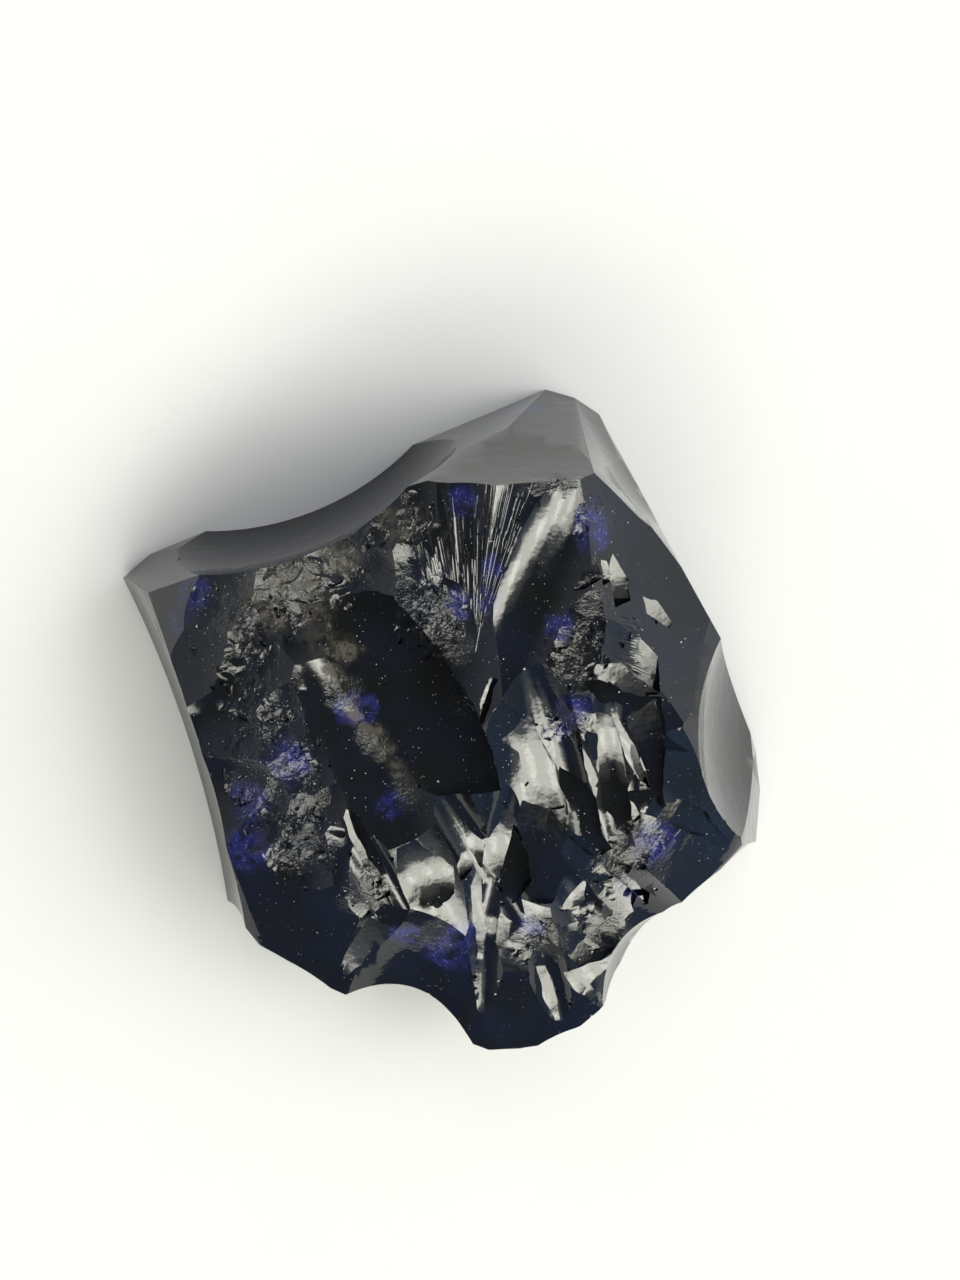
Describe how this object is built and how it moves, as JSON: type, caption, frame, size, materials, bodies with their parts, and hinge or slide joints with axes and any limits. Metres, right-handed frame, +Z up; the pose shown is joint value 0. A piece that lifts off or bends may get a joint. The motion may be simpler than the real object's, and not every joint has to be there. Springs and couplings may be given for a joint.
{
  "type": "tektite",
  "caption": "Broken lump of near-black blue natural glass, its top covered in flutes, ledges and shell-shaped scars, resting on a flat broken base.",
  "frame": {"origin": "centre of the bounding box on the flat base", "axes": "+Z up from the base, +Y toward the tall back edge, +X to the right as seen from the front"},
  "size_m": [0.077, 0.0772, 0.0342],
  "materials": {
    "glass": "glossy broken glass, near black with blue thin edges, opaque in bulk"
  },
  "bodies": {
    "root": {"tektite": "glass"}
  },
  "joints": []
}
